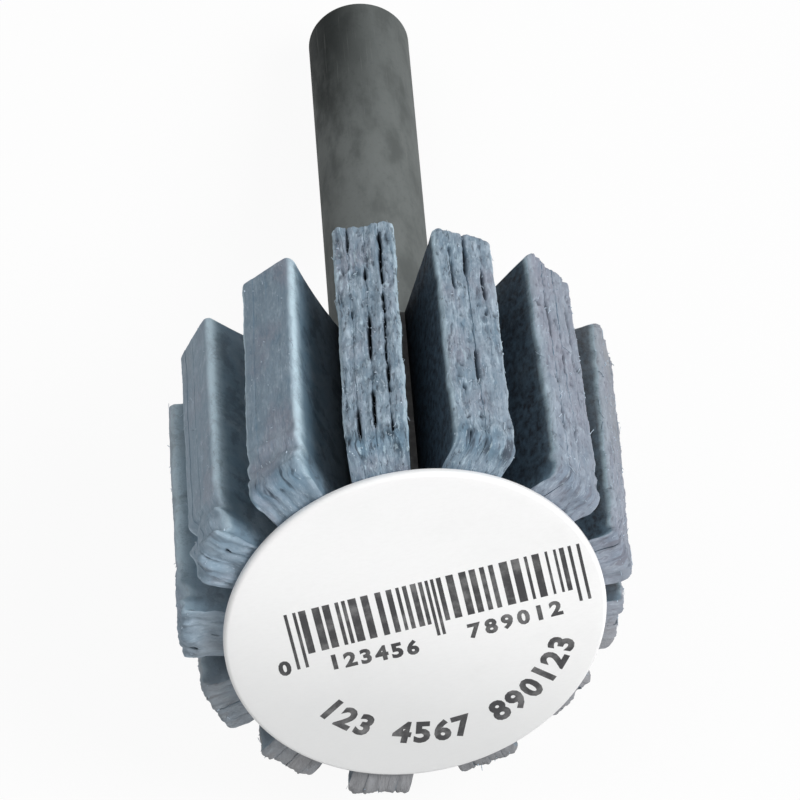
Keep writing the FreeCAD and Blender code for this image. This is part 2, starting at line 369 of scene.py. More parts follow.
class StageSettings(bpy.types.PropertyGroup):
    """The camera, the lamps and the floor."""

    aim: point("Aim", "Where the camera looks", (0.56307 * MM, -7.16975 * MM, 11.98703 * MM))
    azimuth: angle("Azimuth", "The view's turn from straight ahead, to the right", math.radians(-2.9732))
    elevation: angle("Elevation", "The view's height above the horizon", math.radians(49.4975))
    roll: angle("Roll", "The camera's turn about its own view", math.radians(-9.954))
    distance: size("Distance", "From the camera to its aim", 0.440543)
    lens: focal_length("Lens", "Focal length on a 36 mm sensor", 351.836)
    key: power("Key", "The main lamp's power", 3.75)
    fill: power("Fill", "The soft lamp's power", 1.3)
    sky: share("Sky", "The light from all round", 0.27)
    floor: colour("Floor", "The pale floor", (0.9, 0.9, 0.9))


class WheelSettings(bpy.types.PropertyGroup):
    """Everything that can be changed on the flap wheel."""

    flaps: bpy.props.PointerProperty(type=FlapSettings)
    label: bpy.props.PointerProperty(type=LabelSettings)
    metal: bpy.props.PointerProperty(type=MetalSettings)
    stage: bpy.props.PointerProperty(type=StageSettings)


# Materials

def new_material(name):
    """An empty material and the bench of its node tree."""
    material = bpy.data.materials.new(name)
    material.use_nodes = True
    material.node_tree.nodes.clear()
    return material, Bench(material.node_tree)


def finish_surface(bench, base, roughness, bump=None, specular=0.5):
    """Ends a material with a surface, which may have a bump of a height, strength and distance."""
    values = {"Base Color": base, "Roughness": roughness, "Specular IOR Level": specular}
    if bump:
        values["Normal"] = bench.node("ShaderNodeBump", dict(zip(("Height", "Strength", "Distance"), bump)))
    surface = bench.node("ShaderNodeBsdfPrincipled", values)
    bench.node("ShaderNodeOutputMaterial", {0: surface})


def attributes(bench, output, *names):
    """Values kept on the mesh, read in a material."""
    return [bench.node("ShaderNodeAttribute", output=output, attribute_name=name) for name in names]


def object_place(bench):
    """The place on a piece in the row's frame, in metres."""
    return bench.node("ShaderNodeTexCoord", output="Object")


def lay(bench, base, *coats):
    """Lays colours over a base one after another, each with the share that it covers."""
    for covered, paint in coats:
        base = bench.tint(covered, base, paint)
    return base


def cloth_material(flaps):
    """Pressed abrasive cloth: torn tips, a grain coat on the right side and the cloth's back on the left,
    with painted shade and highlights laid over them.
    """
    material, bench = new_material("abrasive_cloth")
    fade, noise = bench.fade, bench.noise
    place, = attributes(bench, "Vector", "cloth")
    depth, side, facing, worn_edge_and_highlight = attributes(bench, "Fac", "depth", "side", "facing", "worn_edge_and_highlight")
    dark, torn, height, front = attributes(bench, "Fac", "dark", "torn", "height", "front")
    on_tip = 1 - side
    to_right, _, above_floor = (object_place(bench) / MM).parts()

    # Patterns, from patches some millimetres wide down to grit
    patches = noise(place * (0.3, 0.45, 0.2), 3)
    clouds = noise(place * (0.5, 1.3, 0.6) + (9.1, 4.7, 2.3), 4, 0.6)
    warp = bench.drift(place * (0.5, 1.2, 0.7))
    warped = place + warp * (0.6, 0.9, 1.8)
    streaks = noise(warped * (0.9, 3.2, 0.45), 5, 0.66)
    lines = noise(warped * (0.4, 2.2, 0.4) + (2.2, 0, 5.1), 3, 0.6)
    flecks = noise((place + warp * (0.3, 0.25, 0.8)) * (1.5, 4.8, 0.95), 3, 0.64)
    threads = noise(place * (3, 9, 1.6), 3, 0.65)
    grit = noise(place, 3, 0.7, 9)

    tip = lay(
        bench, flaps.slate,
        (fade(patches, 0.48, 0.66) * 0.65, flaps.mauve),
        (fade(clouds, 0.5, 0.75) * 0.45, flaps.fibre),
        (fade(clouds, 0.47, 0.25) * 0.5, flaps.coat),
        (fade(streaks, 0.5, 0.66) * (0.2 + torn * 0.45), flaps.fibre),
        (fade(streaks, 0.46, 0.3) * (0.12 + torn * 0.7), flaps.coat),
        # Painted highlight on the ridges and painted shade in the troughs
        (fade(height, 0.15, 0.7) * (0.35 + torn * 0.2), flaps.fibre),
        (fade(height, -0.1, -0.75) * (0.2 + torn * 0.6), flaps.soot_and_shade),
    )
    right = lay(
        bench, flaps.coat,
        # Painted light: the right side turns lighter deeper down, to offset the shade there
        (fade(depth + (clouds - 0.5) * 5, 0.6, 4), flaps.slate),
        (fade(streaks, 0.52, 0.36) * 0.45, flaps.backing_and_shade),
    )
    # The left side is the cloth's back, painted near-black from a third of a millimetre down as shade
    left = bench.tint(fade(depth + (clouds - 0.5) * 0.4, 0, 0.3), flaps.coat, flaps.backing_and_shade)
    dusty = fade(above_floor + (patches - 0.5) * 14, 22, 5)
    base = lay(
        bench, bench.tint(side, tip, bench.tint(facing.above(0), left, right)),
        (fade(threads, 0.75, 0.3) * 0.35, flaps.coat),
        # Pale long corners: partly wear, partly a painted highlight
        (worn_edge_and_highlight * fade(streaks + (grit - 0.5) * 0.4, 0.3, 0.6, 0.5, 1), flaps.worn),
        # Painted shade on the packs' front ends, in streaky lines
        (front * fade(clouds, 0.6, 0.4, 0.3, 0.65), flaps.coat),
        (front * fade(lines, 0.5, 0.36) * 0.55, flaps.soot_and_shade),
        (fade(threads, 0.62, 0.72) * on_tip * 0.5, flaps.fibre),
        (fade(flecks, 0.57, 0.68) * on_tip * (0.1 + torn * 0.9) * 0.45, flaps.worn),
        (fade(flecks, 0.44, 0.33) * on_tip * (0.1 + torn * 0.9) * 0.6, flaps.soot_and_shade),
        (fade(to_right + (patches - 0.5) * 10, 3.5, 11) * on_tip * 0.5, flaps.mauve),
        # Painted light: the packs at the far left made lighter
        (fade(to_right, -6.5, -10) * 0.14, flaps.fibre),
        (dusty * (1 - side * 0.5) * 0.95, flaps.dust),
        # Painted shade near the floor
        (fade(above_floor, 8.5, 4) * 0.25, flaps.soot_and_shade),
        # Painted shade in the cracks and pits
        (dark, flaps.soot_and_shade),
        # Painted shade deep down between the packs
        (fade(depth, 3, 6.5) * 0.85, flaps.soot_and_shade),
    )
    nap = clouds * 0.9 + streaks * 0.6 + flecks * torn * 0.8 + threads * 0.3 + grit * 0.22
    finish_surface(bench, base, fade(grit, 0.3, 0.7, 0.9, 0.62), (nap, 0.7, 0.12 * MM), specular=0.1)
    return material


def grain_material(flaps):
    """Loose grains and threads, paler than the cloth."""
    material, bench = new_material("abrasive_grain")
    shade = bench.noise(object_place(bench), scale=900)
    base = bench.tint(bench.fade(shade, 0.35, 0.65), flaps.slate, flaps.fibre)
    finish_surface(bench, base, bench.fade(shade, 0.3, 0.7, 0.45, 0.7))
    return material


def paper_material(label):
    """Coated white paper with faint fibre and smudges, and painted shade that greys it towards its lower
    left.
    """
    material, bench = new_material("label_paper")
    place = object_place(bench)
    smudge = bench.noise(place, 4, 0.6, 180)
    fibre = bench.noise(place * (1, 1, 3), 3, 0.6, 2600)
    up, right, _ = attributes(bench, "Vector", "turned")[0].parts()
    base = lay(
        bench, label.paper,
        (bench.fade(smudge, 0.45, 0.85) * 0.12, (0.55, 0.55, 0.54)),
        (bench.fade(fibre, 0.3, 0.75) * 0.06, (0.6, 0.6, 0.58)),
        # Painted shade: the paper greys towards its lower left
        (bench.fade(up + right * 0.45 + (smudge - 0.5) * 6, 4, -10) * 0.55, (0.55, 0.56, 0.56)),
    )
    bump = fibre * 0.4 + smudge, 0.25, 0.02 * MM
    finish_surface(bench, base, bench.fade(smudge, 0.3, 0.7, 0.42, 0.55), bump)
    return material


def ink_material(label):
    """Printer's ink, thin and worn in places."""
    material, bench = new_material("label_ink")
    thin = bench.noise(object_place(bench), 4, 0.65, 700)
    base = bench.tint(bench.fade(thin, 0.42, 0.72) * 0.5, label.ink, (0.32, 0.32, 0.32))
    finish_surface(bench, base, bench.fade(thin, 0.3, 0.7, 0.45, 0.7))
    return material


def steel_material(metal):
    """Matt drawn steel with dark mottling and fine lengthwise scratches, darker towards its tip, with painted
    shade down its left side and towards its right side.
    """
    material, bench = new_material("shank_steel")
    place, = attributes(bench, "Vector", "turned")
    _, right, along = place.parts()
    mottle = bench.noise(place * (1, 1, 0.35), 5, 0.6, 0.7)
    freckle = bench.noise(place, 3, 0.6, 3.5)
    scratch = bench.noise(place * (9, 9, 0.25))
    # Darker towards the tip, and painted shade down the left side and along the left edge
    end = bench.fade(along + (mottle - 0.5) * 12, 38, 54)
    left = bench.fade(right + (mottle - 0.5) * 3, 1.9, -1.9)
    tip_dark_and_side_shade_share = (end * (0.16 + left * 0.78)).most(bench.fade(right, -1.6, -3) * 0.5)
    base = lay(
        bench, metal.steel,
        (bench.fade(mottle, 0.4, 0.7) * 0.6, metal.stain_and_shade),
        (bench.fade(freckle, 0.55, 0.75) * 0.25, metal.stain_and_shade),
        (tip_dark_and_side_shade_share, metal.tip_dark_and_side_shade),
        # Painted shade towards the right side
        (bench.fade(right + (mottle - 0.5) * 2, 1, 3) * 0.35, metal.stain_and_shade),
        (bench.fade(scratch, 0.6, 0.75) * 0.12, (0.26, 0.27, 0.26)),
    )
    rough = bench.fade(mottle + (freckle - 0.5) * 0.4, 0.3, 0.7, 0.6, 0.72)
    bump = scratch * 0.3 + freckle * 0.5 + mottle, 0.3, 0.02 * MM
    finish_surface(bench, base, rough, bump, specular=0.05)
    return material


def resin_material(metal):
    """Dark cast resin with a granular skin."""
    material, bench = new_material("hub_resin")
    place = object_place(bench)
    cloud = bench.noise(place, 4, 0.6, 260)
    pores = bench.noise(place, 3, 0.7, 2200)
    base = lay(
        bench, metal.resin,
        (bench.fade(cloud, 0.4, 0.7), (0.075, 0.073, 0.072)),
        (bench.fade(pores, 0.6, 0.75) * 0.4, (0.13, 0.13, 0.13)),
    )
    bump = pores * 0.5 + cloud, 0.5, 0.05 * MM
    finish_surface(bench, base, bench.fade(pores, 0.3, 0.7, 0.7, 0.5), bump)
    return material


# Flaps

def measure_flap(node):
    """One flap's root, outward angle, sizes and the slopes of its ends, read from its CAD solid."""
    points = points_of(node)
    far = np.hypot(points[:, 0], points[:, 1])
    far = far > (far.min() + far.max()) / 2
    back = points[:, 2] > points[:, 2].mean()
    root, tip = points[~far].mean(0), points[far].mean(0)
    turn = math.atan2(tip[1] - root[1], tip[0] - root[0])
    across = points @ np.array([-math.sin(turn), math.cos(turn), 0])
    reach = float(np.hypot(*(tip - root)[:2]))
    near_z = [float(points[~far & end][:, 2].mean()) for end in (~back, back)]
    slopes = [(float(points[far & end][:, 2].mean()) - z) / reach for end, z in zip((~back, back), near_z)]
    return {
        "root": (float(root[0]), float(root[1]), near_z[0]),
        "turn": turn,
        "reach": reach,
        "span": near_z[1] - near_z[0],
        "slope": slopes[0],
        "gain": slopes[1] - slopes[0],
        "thickness": float(across.max() - across.min()),
    }


# How each pack is worn: its tip's smoothness, from torn at nought to smooth at one, how deep its front is
# folded, and in millimetres how far its tip leans to the right at the front and the back, and how much is
# worn off its front, its back, and its tip at the front and the back
WEAR = {
    1: (0, 0.25, 0.2, 0.4, 0, -0.1, 0, 0),
    2: (0.1, 0.45, 0.25, 0, 0, -0.15, 0, -0.05),
    3: (0.1, 0.45, 0.7, -0.15, 0, -0.1, 0, -0.15),
    4: (0.15, 0.5, 0.5, 0.45, 0, -0.35, 0.2, -0.15),
    5: (0, 0.6, 0, 0, 0.6, 0, 0.5, 0.1),
    6: (0, 0.6, 0, 0, 0.9, 0, 0.3, 0),
    7: (0, 0.6, 0, 0, 0.4, 0, 0.1, 0),
    8: (0, 0.6, 0.5, 0, -0.35, 0, 0, 0),
    9: (0, 0.6, 0, 0, 0.4, 0, 0.1, 0),
    10: (0.3, 1, 0, 0, 0.6, 0, 0.25, 0),
    11: (0.8, 1.9, -0.1, -0.1, 0.6, 0, 0, -0.05),
    12: (0.95, 1.7, 0.1, 0.2, 0, -0.4, 0, 0),
    13: (1, 0.9, 0.1, 0.5, 0, -0.2, 0, 0),
}
MOVES = ("lean_front", "lean_back", "front_off", "back_off", "tip_front", "tip_back")


def pack_guide(pack, dice):
    """A mesh of one point for each flap of a pack, which carries its sizes."""
    nodes = ["pack_%02d_flap_%d" % (pack, layer + 1) for layer in range(FLAPS)]
    sizes = [measure_flap(node) for node in nodes]
    rows = {name: [flap[name] for flap in sizes] for name in sizes[0]}
    roots = [Vector(root) for root in rows.pop("root")]
    rows["seam"] = [(roots[1].xy - roots[0].xy).length / 2] * FLAPS
    rows["spread"] = [math.tan((rows["turn"][1] - rows["turn"][0]) / 2)] * FLAPS
    rows["layer"] = [layer - (FLAPS - 1) / 2 for layer in range(FLAPS)]
    rows["chance"] = [dice.uniform(0, 90) for _ in range(FLAPS)]

    # A pack that is pressed smooth has its layers' ends and tips nearly in line
    smoothness, folded, *moves = WEAR[pack]
    settled = 0.45 + 0.5 * smoothness
    front = sum(root.z for root in roots) / FLAPS
    for root in roots:
        root.z += (front - root.z) * settled
    for name in ("reach", "span"):
        middle = sum(rows[name]) / FLAPS
        rows[name] = [value + (middle - value) * settled for value in rows[name]]
    rows["folded"] = [folded] * FLAPS
    for name, move in zip(MOVES, moves):
        rows[name] = [move * MM] * FLAPS

    guide = bpy.data.meshes.new("pack_guide")
    guide.from_pydata(roots, [], [])
    for name, values in rows.items():
        guide.attributes.new(name, "FLOAT", "POINT").data.foreach_set("value", values)
    root = guide.attributes.new("root", "FLOAT_VECTOR", "POINT")
    root.data.foreach_set("vector", [x for place in roots for x in place])
    return guide, nodes


def read(bench, *names, kind="FLOAT"):
    """Named values of the mesh inside a geometry tree."""
    named = "GeometryNodeInputNamedAttribute"
    return [bench.node(named, {"Name": name}, data_type=kind) for name in names]


def store(bench, geometry, name, value, kind="FLOAT"):
    """Keeps a value on the mesh under a name."""
    values = {"Geometry": geometry, "Name": name, "Value": value}
    return bench.node("GeometryNodeStoreNamedAttribute", values, data_type=kind, domain="POINT")


def rounded(radius, past):
    """How far a worn corner of a radius has dropped, at a share of the way across it."""
    past = past.most(0).least(1)
    return radius * (1 - (1 - past * past).most(0).single("SQRT"))


def stand_bits(bench, spots, shape, seed, turns, sizes):
    """Stands a small shape on each spot, with a chance turn and size between two limits each."""
    turned, scaled = [
        bench.node("FunctionNodeRandomValue", {0: low, 1: high, 8: seed + i}, data_type="FLOAT_VECTOR")
        for i, (low, high) in enumerate((turns, sizes))
    ]
    placed = {"Points": spots, "Instance": shape, "Rotation": turned, "Scale": scaled}
    return bench.node("GeometryNodeInstanceOnPoints", placed)


def flap_tree():
    """Grows guide points into worn flaps pressed together, with grains and threads at their tips."""
    bench = Bench(bpy.data.node_groups.new("flap_pack", "GeometryNodeTree"))
    fade, noise, vector = bench.fade, bench.noise, bench.vector
    guide, = bench.ask("Geometry", "Guide")
    rows_out, rows_across, rows_along, pack_seed = bench.ask(
        "Int", "Rows outward", "Rows across", "Rows along", "Seed"
    )
    layer_ease, pack_ease, end_ease, swell, relief, sway, seam_sway = bench.ask(
        "Float", "Layer easing", "Pack easing", "End easing", "Swell", "Relief", "Sway", "Seam sway"
    )
    crack_depth, pit_depth, crumple_depth, end_ragged, grain_size, thread_length, smooth = bench.ask(
        "Float", "Crack depth", "Pit depth", "Crumple depth", "Ragged ends", "Grain size", "Thread length",
        "Smoothness"
    )
    cloth, grain = bench.ask("Material", "Cloth", "Grain")

    # A block of mesh rows for each flap, in shares of its sizes
    rows = {"Vertices X": rows_out, "Vertices Y": rows_across, "Vertices Z": rows_along}
    here = bench.node("GeometryNodeInputPosition")
    block = bench.node("GeometryNodeMeshCube", rows)
    block = store(bench, block, "unit", here + (0.5, 0, 0.5), "FLOAT_VECTOR")
    blocks = bench.node("GeometryNodeInstanceOnPoints", {"Points": guide, "Instance": block})
    blocks = bench.node("GeometryNodeRealizeInstances", {"Geometry": blocks})

    unit, root = read(bench, "unit", "root", kind="FLOAT_VECTOR")
    u, v, w = unit.parts()
    reach, span, thickness, slope, gain = read(bench, "reach", "span", "thickness", "slope", "gain")
    turn, seam, spread, layer = read(bench, "turn", "seam", "spread", "layer")
    chance, folded = read(bench, "chance", "folded")
    lean_front, lean_back, front_off, back_off, tip_front, tip_back = read(bench, *MOVES)
    torn = 1 - smooth
    out = 1 - (1 - u) ** 2
    loose = out * out
    across = (v * math.pi).single("SINE")
    facing = v.single("SIGN")
    aside = across.single("ABSOLUTE")
    station = w * span
    out_mm, station_mm = out * reach / MM, station / MM
    from_end = w.least(1 - w) * span

    # Sideways: inner sides meet at a wandering seam, outer sides swell a little
    outside = (layer * facing).above(1.2)
    seam_name = layer + facing * 0.5
    seam_place = vector(out_mm * 0.2, pack_seed * 7.31 + seam_name * 3.77, station_mm * 0.45)
    seam_wave = (noise(seam_place, 4, 0.6) - 0.5) * 2
    inner_half = seam + out * reach * spread + (smooth * 0.02 - 0.004) * MM
    outer_half = thickness * 0.5 + swell * loose
    half = inner_half + (outer_half - inner_half) * outside
    pack_place = vector(pack_seed * 7.31, out_mm * 0.1, station_mm * 0.13)
    lean = lean_front + (lean_back - lean_front) * w + (noise(pack_place) - 0.5) * 2 * sway
    y = across * half + seam_wave * aside * loose * seam_sway * (1 - smooth * 0.7) + lean * loose

    # The tip's height: ridges along the wheel, lumps, swells and torn pits
    pack_y = (layer * seam * 2.3 + y) / MM
    tip_place = vector(pack_seed * 5.13, pack_y, station_mm)
    warped = tip_place + bench.drift(tip_place * (1, 1.2, 0.7)) * (0, 0.7, 1.6)
    ridges = noise(warped * (1, 2.7, 0.4), 4, 0.62) - 0.5
    lumps = noise(tip_place * (1, 1.5, 1.1) + (3.1, 0, 0), 3, 0.6) - 0.5
    swells = noise(tip_place * (1, 0.35, 0.16) + (6.7, 0, 0)) - 0.5
    own_wave = noise(vector(chance, 0, station_mm * 0.35), 3) - 0.5
    height = (ridges * 2.8 + lumps * 1.6) * torn + lumps * 0.3 * smooth + own_wave * torn * 0.8
    pits = noise(warped * (1, 2.9, 0.7) + (8.9, 0, 0))
    pit = fade(pits, 0.66, 0.73) * (0.08 + torn * 0.92)

    # Cracks that open at the seams here and there, and close towards both ends
    crack_noise = noise(vector(pack_seed * 3.3, seam_name * 5.9, station_mm * 0.17), 4, 0.55)
    opened = fade(crack_noise + torn * 0.04 + lumps * 0.12, 0.55, 0.64) * (1 - outside) * (0.05 + torn * 0.95)
    opened = opened * fade(from_end, 0, 1.8 * MM, 0.2)
    y = y - facing * opened * aside * fade(u, 0.3, 1) * 0.04 * MM
    crack = opened * fade(aside + lumps * 0.3, 0.78, 1)

    # Folds where a pack is crumpled towards its front
    fold_place = vector(pack_seed * 2.7, pack_y * 0.35 + out_mm * 0.25, station_mm * 0.5 + pack_y * 0.2)
    folds = 0.15 - (noise(fold_place, 1.5) - 0.5).single("ABSOLUTE") * 5
    crumple = fade(station, 1 * MM, 7 * MM, 1, 0) * folded
    y = y + (noise(pack_place * (1, 3, 5)) - 0.5) * crumple * loose * crumple_depth * 1.6

    # Worn corners: small inside a pack, larger on its two long corners and at its ends
    ease = layer_ease * fade(own_wave, -0.1, 0.2, 0.12, 1.8) * (1 - smooth * 0.7)
    corner_ease = pack_ease * fade(lumps, -0.3, 0.3, 0.75, 1.3) * (1 + smooth * 0.15)
    ease = ease + (corner_ease - ease) * outside
    drop = rounded(ease, ((aside - 1) * half + ease) / ease)
    end_round = end_ease * (1 - w.above(0.5) * 0.75)
    end_drop = rounded(end_round, (end_round - from_end) / end_round)
    rise = height * relief + swells * relief * 1.2 - crack * crack_depth - pit * pit_depth
    rise = rise + folds * crumple * crumple_depth - tip_front * (1 - w) - tip_back * w
    x = out * (reach - drop - end_drop + rise * loose)

    # Along the wheel: ragged ends, and ends that slant
    end_noise = noise(vector(chance, pack_y * 1.2, out_mm * 0.9), 3, 0.6) - 0.5
    end_fold = noise(vector(pack_seed * 1.9, pack_y * 0.8, out_mm * 0.7), 3, 0.6) - 0.5
    end_lines = noise(vector(pack_seed * 1.3, pack_y * 2.3, out_mm * 0.35)) - 0.5
    toward_end = (w * 2 - 1) * fade(from_end, 0, 0.7 * MM, 1, 0)
    ragged = end_ragged * (end_noise * 2 * (0.05 + torn * (0.3 + w * 0.65)) - 0.1)
    ragged = ragged + (end_fold * 2 + end_lines * 1.2) * crumple * crumple_depth
    z = station + toward_end * (ragged - drop * (0.2 + w * 0.6))
    z = z + (slope + gain * w) * x + (front_off * (1 - w) - back_off * w) * loose
    placed = {"Vector": vector(x, y, 0), "Angle": turn}
    placed = bench.node("ShaderNodeVectorRotate", placed, rotation_type="Z_AXIS")
    placed = placed + root + vector(0, 0, z)

    # What the cloth's material reads
    # Pale long corners: partly wear, partly a painted highlight on the rounded corners, wider on smooth packs
    corner_wear_and_highlight = fade(aside, 0.45 - smooth * 0.3, 0.95) * fade(u, 0.75 - smooth * 0.16, 0.97) * outside
    # Painted shade on the packs' front ends, stronger where a pack is folded less
    at_front = fade(station, 1.8 * MM, 0.2 * MM) * fade(u, 0.5, 0.9)
    kept = {
        "depth": (reach - x) / MM,
        "side": v.single("ABSOLUTE").above(0.49),
        "facing": facing,
        "worn_edge_and_highlight": corner_wear_and_highlight * (1 - torn * 0.35) * (1 - crumple * 0.3).most(0.3),
        # Painted shade in the cracks and pits
        "dark": (crack * 0.95).most(pit * 0.7),
        "front": at_front * fade(folded, 0.8, 1.8, 1.3, 0.7),
        "torn": torn,
        # Heights from which the material paints highlight on the ridges and shade in the troughs
        "height": height + (folds + 0.2) * crumple * 0.6,
    }
    blocks = store(bench, blocks, "cloth", vector(x / MM + pack_seed * 13.7, pack_y, z / MM), "FLOAT_VECTOR")
    for name, value in kept.items():
        blocks = store(bench, blocks, name, value)
    worn = bench.node("GeometryNodeSetPosition", {"Geometry": blocks, "Position": placed})
    worn = bench.node("GeometryNodeSetShadeSmooth", {"Geometry": worn})
    worn = bench.node("GeometryNodeSetMaterial", {"Geometry": worn, "Material": cloth})

    # Grains and threads that stand out of the tips
    stone = bench.node("GeometryNodeMeshIcoSphere", {"Radius": grain_size, "Subdivisions": 1})
    straw = {"Vertices": 5, "Side Segments": 5, "Radius": 0.018 * MM, "Depth": thread_length}
    straw = bench.node("GeometryNodeMeshCylinder", straw)
    bits = []
    for shape, per_square_metre, seed, turns, sizes in (
        (stone, 1.6e6, 5, ((0, 0, 0), (6.3, 6.3, 6.3)), ((0.4, 0.4, 0.6), (1, 1, 2.2))),
        (straw, 0.5e6, 9, ((-0.45, -0.45, 0), (0.45, 0.45, 6.3)), ((0.6, 0.6, 0.4), (1.2, 1.2, 1.3))),
    ):
        density = per_square_metre * (0.2 + torn * 0.8)
        spots = {"Mesh": worn, "Selection": u.above(0.99), "Density": density, "Seed": pack_seed + seed}
        spots = bench.node("GeometryNodeDistributePointsOnFaces", spots)
        bits.append(stand_bits(bench, spots, shape, seed, turns, sizes))
    bits = bench.node("GeometryNodeRealizeInstances", {"Geometry": bench.gather(*bits)})
    bent = {"Geometry": bits, "Offset": bench.drift(here, 1400, 1) * (0.25 * MM)}
    bits = bench.node("GeometryNodeSetPosition", bent)
    bits = bench.node("GeometryNodeSetMaterial", {"Geometry": bits, "Material": grain})
    bench.give(bench.gather(worn, bits))
    return bench.tree


class BuildFlaps(bpy.types.Operator):
    """Grow the thirteen packs of abrasive cloth."""

    bl_idname = "flap_wheel.build_flaps"
    bl_label = "Build the flaps"

    def execute(self, context):
        """Grows one piece for each pack."""
        flaps = context.scene.flap_wheel.flaps
        cloth, grain, tree = cloth_material(flaps), grain_material(flaps), flap_tree()
        dice = Random(SEED)
        for pack in range(1, PACKS + 1):
            guide, nodes = pack_guide(pack, dice)
            piece = grow("pack_%02d_cloth" % pack, guide, tree, {
                **named_values(flaps), "Smoothness": WEAR[pack][0], "Seed": pack,
                "Cloth": cloth, "Grain": grain,
            })
            keep(piece, "abrasive_cloth", *nodes)
        return {"FINISHED"}


# Label

def label_frame():
    """The label's radius and thickness, and the matrix from its front face, with z out of the paper."""
    mesh = frame["nodes"]["label"].data
    out = WHEEL.to_3x3().inverted() @ max(mesh.polygons, key=lambda face: face.area).normal
    if out.z > 0:
        out.negate()
    right = Vector((1, 0, 0)).cross(out).normalized()
    turned = Matrix((right, out.cross(right), out)).transposed().to_4x4()
    points = np.array([turned.inverted() @ Vector(point) for point in points_of("label")])
    low, high = points.min(0), points.max(0)
    middle = Vector(((low[0] + high[0]) / 2, (low[1] + high[1]) / 2, high[2]))
    radius, thickness = float(high[0] - low[0]) / 2, float(high[2] - low[2])
    return radius, thickness, WHEEL @ turned @ Matrix.Translation(middle)


class BuildLabel(bpy.types.Operator):
    """Turn the label's disc with its rounded rim."""

    bl_idname = "flap_wheel.build_label"
    bl_label = "Build the label"

    def execute(self, context):
        """Makes the disc in place of its CAD solid."""
        label = context.scene.flap_wheel.label
        radius, thickness, plane = label_frame()
        rim = label.rim
        profile = [(0, 0), (radius * 0.5, 0), (radius - 3 * rim, 0)]
        profile += arc((radius - rim, -rim), rim, 90, 0, 8)
        profile += [(radius, 0.05 * MM - thickness), (radius - 0.05 * MM, -thickness)]
        profile += [(radius * 0.5, -thickness), (0, -thickness)]
        mesh = turn_profile("label_disc", profile, 180, plane)
        keep_turned_place(mesh)
        mesh.materials.append(paper_material(label))
        mesh.shade_smooth()
        keep(add_object("label_disc", mesh), "label_paper", "label")
        return {"FINISHED"}


def bars_tree():
    """Stands printed bars of chance widths and gaps in a row, with longer ones at its ends and middle."""
    bench = Bench(bpy.data.node_groups.new("print_bars", "GeometryNodeTree"))
    bench.ask("Geometry", "Guide")
    band, height, drop, depth = bench.ask("Float", "Band width", "Bar height", "Bar drop", "Ink thickness")
    number, seed = bench.ask("Int", "Number of bars", "Seed")
    ink, = bench.ask("Material", "Ink")
    thin, gap = [
        bench.node("FunctionNodeRandomValue", {2: low, 3: high, 8: seed + i}, 1, data_type="FLOAT")
        for i, (low, high) in enumerate(((0.7, 2.6), (0.6, 2.2)))
    ]
    index = bench.node("GeometryNodeInputIndex")
    off_middle = (index - (number - 1) * 0.5).single("ABSOLUTE")
    longer = (off_middle.above(number * 0.5 - 2) + (1 - off_middle.above(1))).least(1)
    width = thin + (1 - thin) * longer
    sum_up = bench.node("GeometryNodeAccumulateField", {0: width + gap}, "Trailing", data_type="FLOAT")
    module = band / sum_up.output("Total")
    line = bench.node("GeometryNodeMeshLine", {"Count": number, "Offset": (0, 0, 0)})
    place = bench.vector((sum_up + width * 0.5) * module, longer * drop * -0.5, 0)
    line = bench.node("GeometryNodeSetPosition", {"Geometry": line, "Position": place})
    bar = bench.node("GeometryNodeMeshCube")
    scale = bench.vector(width * module, height + longer * drop, depth)
    bars = bench.node("GeometryNodeInstanceOnPoints", {"Points": line, "Instance": bar, "Scale": scale})
    bars = bench.node("GeometryNodeRealizeInstances", {"Geometry": bars})
    bench.give(bench.node("GeometryNodeSetMaterial", {"Geometry": bars, "Material": ink}))
    return bench.tree


INK_THICKNESS = 0.012 * MM


def digit_mesh(text, height):
    """A digit as a thin slab of ink, centred on its own middle."""
    curve = bpy.data.curves.new("digit", "FONT")
    curve.body = text
    curve.size = 1
    curve.resolution_u = 3
    curve.offset = 0.045
    curve.extrude = INK_THICKNESS / height / 2
    sample = add_object("digit", curve)
    mesh = evaluated_mesh(sample)
    bpy.data.objects.remove(sample)
    bpy.data.curves.remove(curve)
    points = np.array([v.co for v in mesh.vertices])
    middle = (points.min(0) + points.max(0)) / 2
    scale = height / (points[:, 1].max() - points[:, 1].min())
    mesh.transform(Matrix.Scale(scale, 4) @ Matrix.Translation((-middle[0], -middle[1], 0)))
    return mesh


def lay_digits(name, places, target):
    """Joins digits, each at its own x, y, turn and height, into one mesh in the print's plane."""
    made = bmesh.new()
    for text, x, y, turn, height in places:
        mesh = digit_mesh(text, height)
        mesh.transform(Matrix.Translation((x, y, 0)) @ Matrix.Rotation(turn, 4, "Z"))
        made.from_mesh(mesh)
        bpy.data.meshes.remove(mesh)
    bmesh.ops.remove_doubles(made, verts=made.verts, dist=1e-7)
    return finished_mesh(made, name, target)


def row_of_digits(text, first, last, height):
    """Places a text's digits in a straight row between two places."""
    first, last = Vector(first), Vector(last)
    places = [first.lerp(last, i / max(len(text) - 1, 1)) for i in range(len(text))]
    return [(c, place.x, place.y, 0, height) for c, place in zip(text, places)]


def ring_of_digits(text, first, last, middle, radius, height):
    """Places a text's digits round the label's lower rim, upright towards its middle."""
    places = []
    for i, c in enumerate(text):
        a = math.radians(first + (last - first) * i / (len(text) - 1))
        if c != " ":
            x, y = middle[0] + radius * math.cos(a), middle[1] + radius * math.sin(a)
            places.append((c, x, y, a + math.pi / 2, height))
    return places


